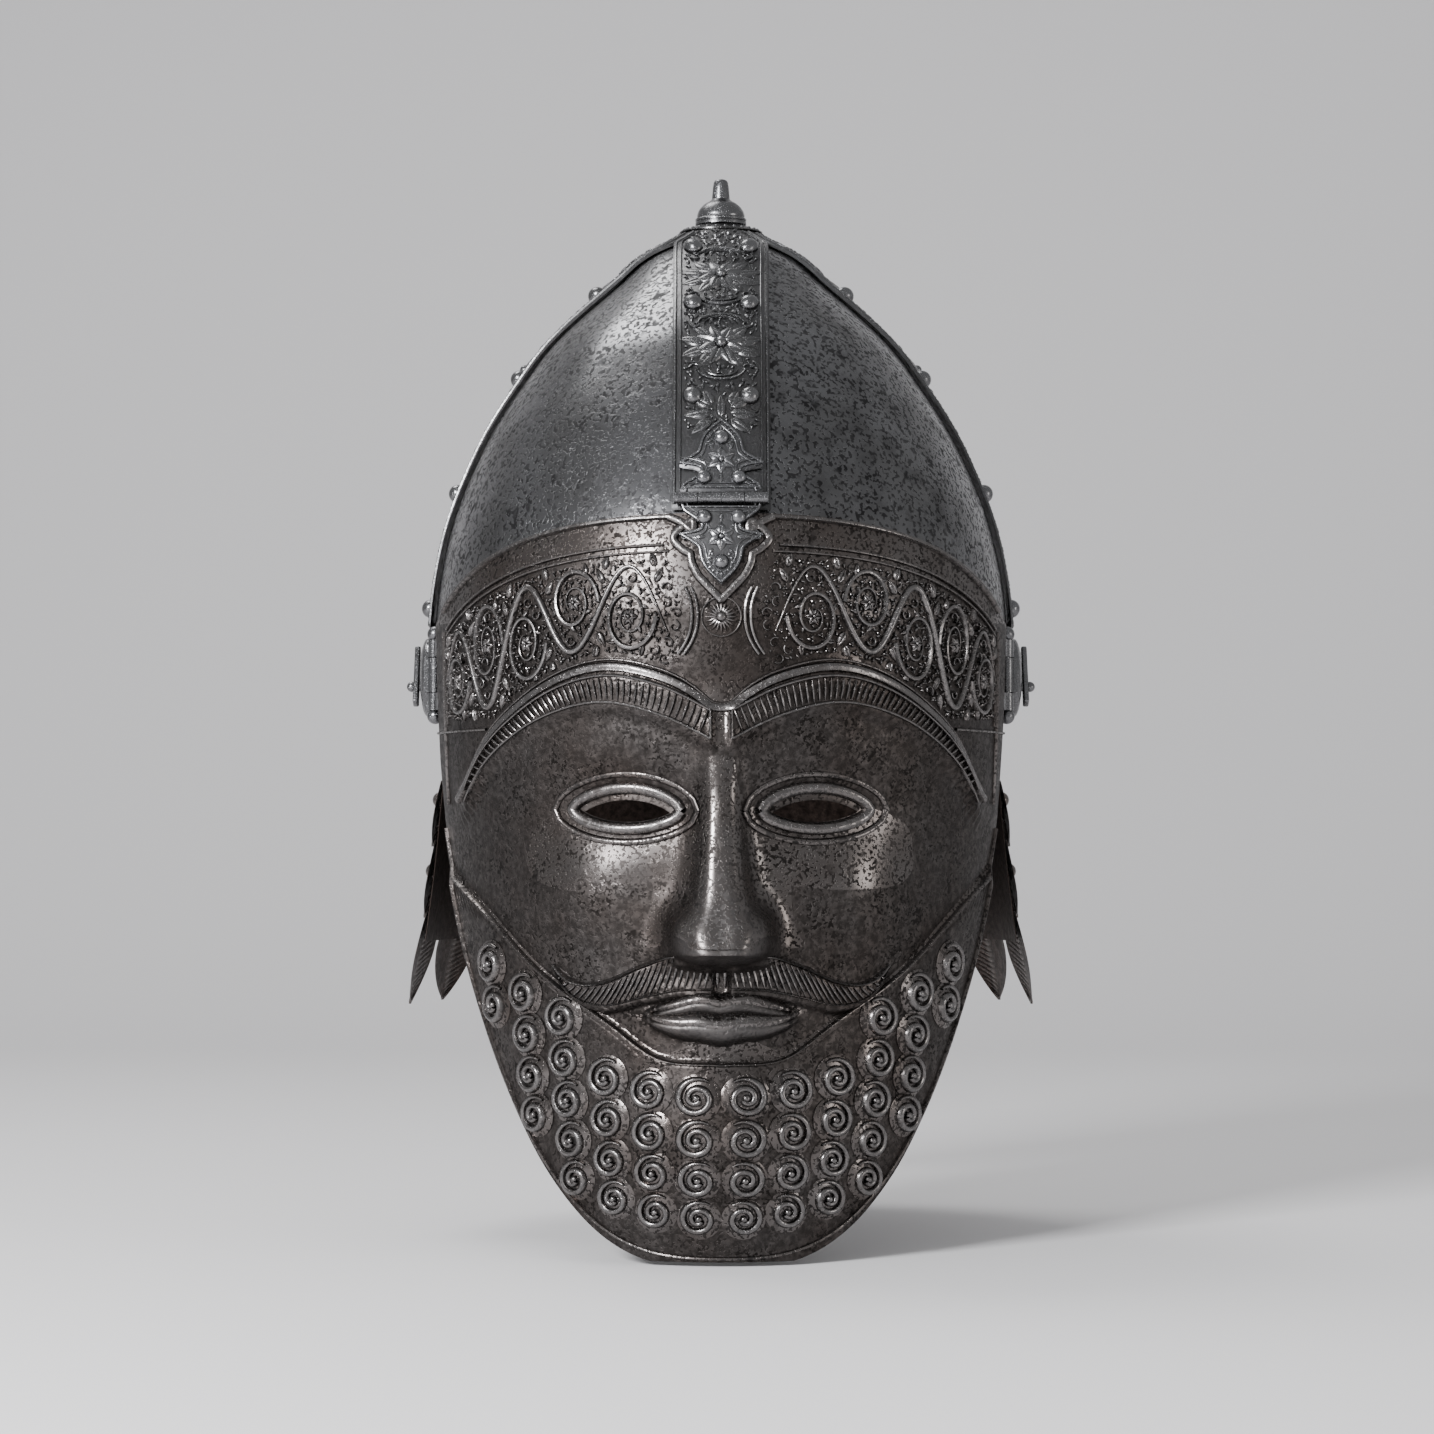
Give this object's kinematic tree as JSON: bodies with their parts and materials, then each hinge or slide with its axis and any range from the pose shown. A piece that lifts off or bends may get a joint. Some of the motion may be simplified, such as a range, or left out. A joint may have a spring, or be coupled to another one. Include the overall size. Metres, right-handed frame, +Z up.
{
  "type": "ottoman helmet with a hinged face mask",
  "caption": "Ottoman steel helmet with a banded pointed crown, a hinged bearded face mask, side hasps, turn buttons and a nape guard of steel feathers.",
  "frame": {"origin": "centre of the crown's mouth, where the helmet sits round the wearer's head", "axes": "+Z up towards the finial, -Y out of the face, +X to the right of someone who looks at the face"},
  "size_m": [0.2284, 0.2631, 0.3788],
  "materials": {
    "crown_steel": "pitted dark patina",
    "band_steel": "chased, dark patina with rubbed edges",
    "mask_steel": "stippled brown-black patina with rubbed relief",
    "bright_steel": "worn polish over dark grounds",
    "feather_steel": "brown patina"
  },
  "bodies": {
    "root": {"crown": "crown_steel", "cap_plate": "band_steel", "finial": "bright_steel", "front_band": "band_steel", "right_band": "band_steel", "back_band": "band_steel", "left_band": "band_steel", "upper_leaf": "bright_steel", "nape_plate": "feather_steel", "upper_feather_1": "feather_steel", "upper_feather_2": "feather_steel", "upper_feather_3": "feather_steel", "upper_feather_4": "feather_steel", "upper_feather_5": "feather_steel", "upper_feather_6": "feather_steel", "upper_feather_7": "feather_steel", "upper_feather_8": "feather_steel", "upper_feather_9": "feather_steel", "upper_feather_10": "feather_steel", "upper_feather_11": "feather_steel", "middle_feather_1": "feather_steel", "middle_feather_2": "feather_steel", "middle_feather_3": "feather_steel", "middle_feather_4": "feather_steel", "middle_feather_5": "feather_steel", "middle_feather_6": "feather_steel", "middle_feather_7": "feather_steel", "middle_feather_8": "feather_steel", "middle_feather_9": "feather_steel", "middle_feather_10": "feather_steel", "lower_feather_1": "feather_steel", "lower_feather_2": "feather_steel", "lower_feather_3": "feather_steel", "lower_feather_4": "feather_steel", "lower_feather_5": "feather_steel", "lower_feather_6": "feather_steel", "lower_feather_7": "feather_steel", "lower_feather_8": "feather_steel", "lower_feather_9": "feather_steel", "lower_feather_10": "feather_steel", "lower_feather_11": "feather_steel"},
    "mask_body": {"mask": "mask_steel", "lower_leaf": "bright_steel"},
    "right_hasp_body": {"right_hasp": "bright_steel"},
    "left_hasp_body": {"left_hasp": "bright_steel"},
    "right_button_body": {"right_turn_button": "bright_steel"},
    "left_button_body": {"left_turn_button": "bright_steel"}
  },
  "joints": [
    {"name": "mask_hinge", "type": "hinge", "parent": "root", "child": "mask_body", "pos_m": [0, -0.11234, 0.0755], "axis": [-1, 0, 0], "range_deg": [0, 130]},
    {"name": "right_hasp_hinge", "type": "hinge", "parent": "mask_body", "child": "right_hasp_body", "pos_m": [0.1011, -0.028, 0.0198], "axis": [0, 0, -1], "range_deg": [0, 105]},
    {"name": "left_hasp_hinge", "type": "hinge", "parent": "mask_body", "child": "left_hasp_body", "pos_m": [-0.1011, -0.028, 0.0198], "axis": [0, 0, 1], "range_deg": [0, 105]},
    {"name": "right_button_turn", "type": "hinge", "parent": "root", "child": "right_button_body", "pos_m": [0.1105, -0.005, 0.0165], "axis": [1, 0, 0], "range_deg": [0, 90]},
    {"name": "left_button_turn", "type": "hinge", "parent": "root", "child": "left_button_body", "pos_m": [-0.1105, -0.005, 0.0165], "axis": [1, 0, 0], "range_deg": [0, 90]}
  ]
}
